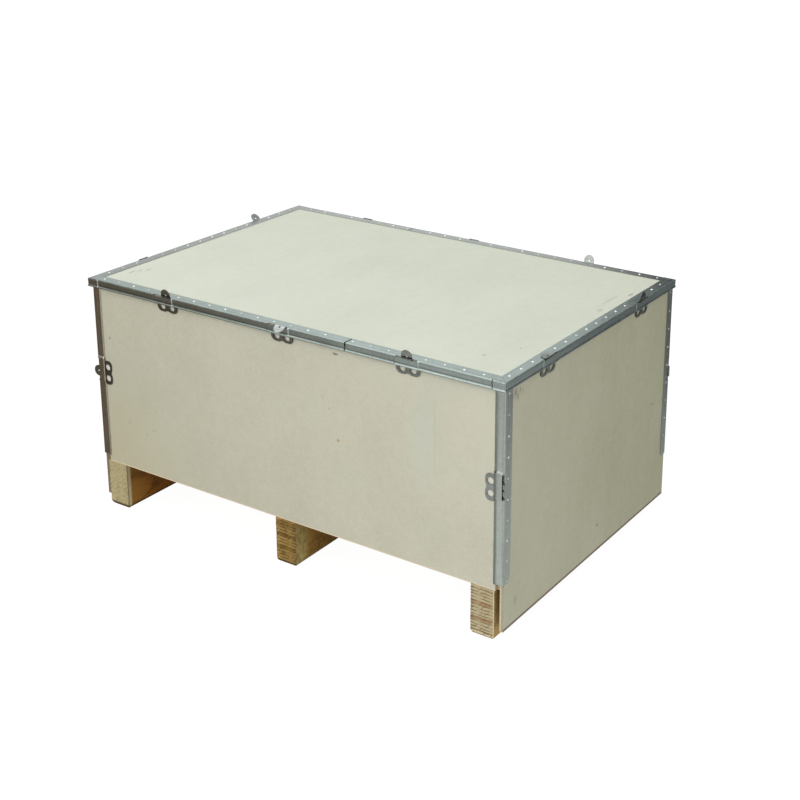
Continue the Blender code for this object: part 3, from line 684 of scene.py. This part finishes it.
def paint_strips():
    """Finishes of the lid's and the corners' strips."""
    steel = (0.325, 0.378, 0.362)
    # The front lid strips get painted shade under the bead, a line of painted shade above it, and painted
    # shade in the seam between their two lengths
    along_front = galvanised("front_strip_zinc", steel, X, painted_shade_level=UNDER_BEAD,
                             lines=(ABOVE_BEAD, (X, strip_seams()[0], *SEAM_LINE)))
    neutral = (0.335, 0.352, 0.344)
    along_back = galvanised("back_strip_zinc", neutral, X, seed=2.0)
    along_left = galvanised("left_strip_zinc", neutral, Y, seed=3.0)
    # The right lid strip gets painted shade under its bead
    along_right = galvanised("right_strip_zinc", steel, Y, seed=4.0, painted_shade_level=UNDER_BEAD)
    lid_strips = {"lid_strip_left": along_left, "lid_strip_right": along_right,
                  "lid_strip_back_left": along_back, "lid_strip_back_right": along_back}
    # The corner strips are painted darker where they turn upward, and the front right one along its lip, as
    # painted shade
    upright = galvanised("corner_strip_zinc", GREENISH, Z, dents=1.4, seed=8.0, shoulder=0.5)
    lipped = galvanised("lipped_corner_strip_zinc", GREENISH, Z, dents=1.4, seed=8.0, shoulder=0.5,
                        lines=(CORNER_LIP,))
    # The front left corner strip's brownish zinc is partly its tarnish and partly a painted warm reflection
    brownish = galvanised("brownish_corner_strip_zinc", (0.385, 0.375, 0.315), Z, dents=1.4, seed=10.0)
    corner_strips = {"corner_strip_front_left": brownish, "corner_strip_front_right": lipped}
    for node in frame["nodes"]:
        if node.startswith("lid_strip"):
            paint_node(node, lid_strips.get(node, along_front))
        elif node.startswith("corner_strip"):
            paint_node(node, corner_strips.get(node, upright))


def paint_locks():
    """Finishes of the tie plates and their tongues."""
    dull = (0.25, 0.27, 0.25)
    # The plates' cut edges are painted dark as shade, and the front right corner plate gets a line of
    # painted shade at its slot
    stamped = galvanised("tie_plate_zinc", (0.185, 0.195, 0.18), X, 0.30, seed=15.0, flat=Y)
    sideways = galvanised("end_tie_plate_zinc", (0.20, 0.205, 0.18), Y, 0.30, seed=14.0, flat=X)
    hooked = galvanised("corner_tie_plate_zinc", dull, X, 0.30, seed=13.0, flat=Y, lines=(PLATE_SLOT,))
    plain = galvanised("tongue_zinc", dull, X, 0.30, seed=12.0)
    # Painted shade at the root of the front left and front right tongues
    rooted = galvanised("rooted_tongue_zinc", dull, X, 0.30, seed=16.0, painted_shade_level=TONGUE_ROOT)
    folded = galvanised("corner_tongue_zinc", GREENISH, Z, 0.30, dents=1.4, seed=18.0)
    flap = galvanised("flap_zinc", (0.35, 0.37, 0.37), X, 0.30, dents=1.4, seed=20.0)
    # A lighter zinc that paints the bright reflection these tongues show
    painted_sheen = galvanised("painted_sheen_tongue_zinc", (0.50, 0.52, 0.51), X, 0.30, seed=17.0)
    dark = galvanised("dark_tongue_zinc", (0.10, 0.11, 0.11), X, 0.30, seed=19.0)
    tongues = {"tongue_front_left": rooted, "tongue_front_middle": flap, "tongue_front_right": rooted,
               "tongue_right_rear": dark, "tongue_left_front": painted_sheen, "tongue_left_rear": flap,
               "tongue_back_left": flap, "tongue_back_middle": flap, "tongue_back_right": painted_sheen,
               "tongue_corner_front_right": folded}
    plates = {"tie_plate_right_front": sideways, "tie_plate_right_rear": sideways,
              "tie_plate_corner_front_right": hooked}
    for node in frame["nodes"]:
        if node.startswith("tie_plate"):
            paint_node(node, plates.get(node, stamped))
        elif node.startswith("tongue"):
            paint_node(node, tongues.get(node, plain))


def make_skids():
    """The three skids, each with its own tones."""
    chance = random.Random(SKID_SEED)
    rust = (colour(0.081, 0.029, 0.003), colour(0.173, 0.066, 0.007))
    umber = (colour(0.095, 0.047, 0.008), colour(0.205, 0.112, 0.022))
    cream = (colour(0.36, 0.29, 0.16), colour(0.48, 0.41, 0.25))
    olive = (colour(0.190, 0.142, 0.042), colour(0.400, 0.318, 0.125))
    ochre = (colour(0.34, 0.22, 0.080), colour(0.52, 0.37, 0.160))
    gold = (colour(0.36, 0.21, 0.060),)
    amber = (colour(0.30, 0.160, 0.038),)
    chalky = (colour(0.395, 0.340, 0.193), colour(0.335, 0.280, 0.150), colour(0.13, 0.095, 0.045))
    tan = (colour(0.395, 0.256, 0.084), colour(0.126, 0.072, 0.016), colour(0.045, 0.024, 0.006))
    sandy = (colour(0.46, 0.405, 0.265), colour(0.325, 0.262, 0.145), colour(0.12, 0.068, 0.027))
    russet = colour(0.27, 0.13, 0.055)
    straw = colour(0.55, 0.47, 0.28)
    bands = ((0.076, 0.007, 0.7, russet), (0.038, 0.007, 0.7, russet), (0.004, 0.006, 0.9, straw),
             (0.0092, 0.0012, 1.2, GRIME))
    brown = colour(0.11, 0.058, 0.012)
    marbling = ((0.103, 0.010, 0.6, brown), (0.076, 0.006, 0.8, brown), (0.044, 0.006, 0.8, brown))
    left = laminated("skid_left", chalky, rust + cream + amber, band=0.0090, lines=0.10, saw_depth=0.45,
                     rim=(0.005, 0.9, GRIME), seed=1.0, foot=0.0085, chips=(0.58, 0.66))
    make_skid("skid_left", left, chance)
    middle = laminated("skid_middle", tan, umber + olive + gold, band=0.041, lines=0.75, saw_depth=0.75,
                       rim=(0.004, 0.6, GRIME), seed=6.0, foot=0.0125, stripes=marbling)
    make_skid("skid_middle", middle, chance)
    right = laminated("skid_right", sandy, rust + ochre + gold, band=0.032, lines=0.80, saw_depth=0.60,
                      rim=(0.004, 0.8, straw), seed=12.0, foot=0.0020, stripes=bands)
    make_skid("skid_right", right, chance)


def make_floor():
    """White sweep, lit from inside so that it keeps almost no shadow."""
    bm = bmesh.new()
    bmesh.ops.create_grid(bm, x_segments=1, y_segments=1, size=FLOOR_HALF)
    mesh = bpy.data.meshes.new("studio_floor")
    bm.to_mesh(mesh)
    bm.free()
    finish = Finish("studio_floor_paper", Base_Color=colour(0.05, 0.05, 0.05), Roughness=0.9,
                    Emission_Color=colour(1.0, 1.0, 1.0), Emission_Strength=0.965)
    mesh.materials.append(finish.material)
    floor = bpy.data.objects.new("studio_floor", mesh)
    bpy.context.scene.collection.objects.link(floor)


def make_light():
    """Bright studio to the left, darker to the right and low behind, and a soft high key from the front."""
    world = bpy.data.worlds.new("studio")
    bpy.context.scene.world = world
    world.use_nodes = True
    room = Finish.of_tree(world.node_tree)
    toward = room.node('ShaderNodeTexCoord')

    def facing(direction):
        settings = {'operation': 'DOT_PRODUCT'}
        return room.node('ShaderNodeVectorMath', settings, {0: toward, 1: Vector(direction).normalized()}, 1)

    left = room.rise(facing((-0.85, -0.30, 0.45)), -0.6, 0.75)
    aside = room.rise(facing((-0.85, 0.48, 0.22)), 0.905, 0.985)
    behind = room.rise(facing((-0.60, 0.78, 0.20)), 0.5, 0.8)
    behind = behind * (1.0 - room.rise(facing((0, 0, 1)), 0.29, 0.325))
    strength = (0.30 + left * 1.05) * (1.0 - aside * 0.36) * (1.0 - behind * 0.16)
    background = world.node_tree.nodes["Background"]
    room.feed(background.inputs['Strength'], strength)
    room.feed(background.inputs['Color'], colour(0.97, 1.0, 0.98))

    lamp = bpy.data.lights.new("key", 'SUN')
    lamp.energy = 1.2
    lamp.angle = math.radians(50)
    lamp.color = (1.0, 0.98, 0.94)
    key = bpy.data.objects.new("key", lamp)
    key.rotation_euler = Vector((-0.10, -0.45, 1.0)).to_track_quat('Z', 'Y').to_euler()
    bpy.context.scene.collection.objects.link(key)


def make_cards():
    """Dark cloths and lamps that the metal mirrors."""
    brown = colour(0.115, 0.070, 0.034)
    slate = colour(0.045, 0.052, 0.056)
    make_flag("flag_front", rectangle(Z, LOW, (-FAR, 1.6), (-FAR, BEFORE)), brown, X, 1.0,
              ((-1.5, -0.55, -0.42), (-0.6, -0.2, -0.30), (0.0, 0.3, -0.28)))
    make_flag("flag_near", rectangle(Z, 2 * LOW, (-FAR, -0.62), (-1.2, BEFORE)), brown, X, 0.95)
    make_flag("flag_left", rectangle(Z, LOW, (-FAR, -0.65), (BEFORE, 8)), brown, X, 1.0)
    make_flag("flag_right", rectangle(Z, LOW, (0.62, 12), (-0.8, FAR)), slate, Y, 0.30,
              ((-0.2, 0.7, 0.30), (0.7, 1.4, 0.27)))
    make_flag("flag_back", rectangle(Y, BEHIND, (-3.2, 8), (0, CHANGE_OVER)), slate, X, 0.0,
              ((-2.6, -2.35, 1.0),))
    make_flag("flag_high", rectangle(Y, BEHIND, (-2.3, 1.2), (CHANGE_OVER, 7)), slate, X, 0.0,
              ((-2.3, -2.1, 0.9), (0.6, 1.2, -0.9)))
    make_flag("flag_side", rectangle(X, -2.25, (-2.6, 0.6), (0.05, 2.9)), brown, Z, 0.35,
              ((0.7, 1.4, 0.57),))
    make_softbox("softbox_low", (-0.82, -2.86, 1.40), 1.0, 3.0)
    make_softbox("softbox_high", (-1.85, -0.09, 2.94), 1.2, 1.2)
    make_softbox("softbox_back", (3.2, 5.8, 5.0), 2.6, 1.3)


def rectangle(axis, level, first, second):
    """Corners of a card square to an axis, from its spans along the other two."""
    corners = []
    for u, v in ((0, 0), (1, 0), (1, 1), (0, 1)):
        corner = [first[u], second[v]]
        corner.insert(axis, level)
        corners.append(corner)
    return corners


def make_card(name, corners, material):
    """Flat card that shows only in the metal's reflections."""
    bm = bmesh.new()
    bm.faces.new([bm.verts.new(corner) for corner in corners])
    mesh = bpy.data.meshes.new(name)
    bm.to_mesh(mesh)
    bm.free()
    mesh.materials.append(material)
    card = bpy.data.objects.new(name, mesh)
    card.visible_camera = False
    card.visible_diffuse = False
    card.visible_shadow = False
    bpy.context.scene.collection.objects.link(card)


def make_flag(name, corners, tint, axis, alpha, steps=()):
    """Dark cloth whose thickness changes along one axis, by steps of start, end and gain."""
    finish = Finish(name + "_cloth", Base_Color=tint, Roughness=1.0)
    place = finish.split(OBJECT)
    for start, end, gain in steps:
        alpha = finish.rise(place[axis], start, end) * gain + alpha
    finish.drive(Alpha=alpha)
    make_card(name, corners, finish.material)


def make_softbox(name, middle, size, strength):
    """Square lamp that faces the crate."""
    turn = (CRATE_MIDDLE - Vector(middle)).to_track_quat('Z', 'Y')
    span = (-size / 2, size / 2)
    corners = [Vector(middle) + turn @ Vector(corner) for corner in rectangle(Z, 0, span, span)]
    finish = Finish(name + "_diffuser", Base_Color=colour(0.8, 0.8, 0.8), Roughness=1.0,
                    Emission_Color=colour(1.0, 1.0, 1.0), Emission_Strength=strength)
    make_card(name, corners, finish.material)


def make_camera():
    """The photograph's own view."""
    lens = bpy.data.cameras.new("camera")
    lens.sensor_width = SENSOR_MM
    lens.lens = FOCAL_PIXELS * SENSOR_MM / PHOTO_SIDE
    lens.shift_x = (PHOTO_SIDE / 2 - PRINCIPAL_PIXEL[0]) / PHOTO_SIDE
    lens.shift_y = (PRINCIPAL_PIXEL[1] - PHOTO_SIDE / 2) / PHOTO_SIDE
    back = Vector((math.sin(CAMERA_AZIMUTH) * math.cos(CAMERA_ELEVATION),
                   -math.cos(CAMERA_AZIMUTH) * math.cos(CAMERA_ELEVATION), math.sin(CAMERA_ELEVATION)))
    level = Vector((math.cos(CAMERA_AZIMUTH), math.sin(CAMERA_AZIMUTH), 0))
    upright = back.cross(level)
    right = level * math.cos(CAMERA_ROLL) + upright * math.sin(CAMERA_ROLL)
    turned = Matrix((right, back.cross(right), back)).transposed().to_4x4()
    turned.translation = CAMERA_TARGET + back * CAMERA_DISTANCE
    camera = bpy.data.objects.new("camera", lens)
    camera.matrix_world = turned
    bpy.context.scene.collection.objects.link(camera)
    bpy.context.scene.camera = camera
    bpy.context.scene.view_settings.view_transform = 'Standard'


make_camera()
make_light()
make_cards()
make_floor()
paint_boards()
paint_strips()
paint_locks()
make_skids()
make_rivets()
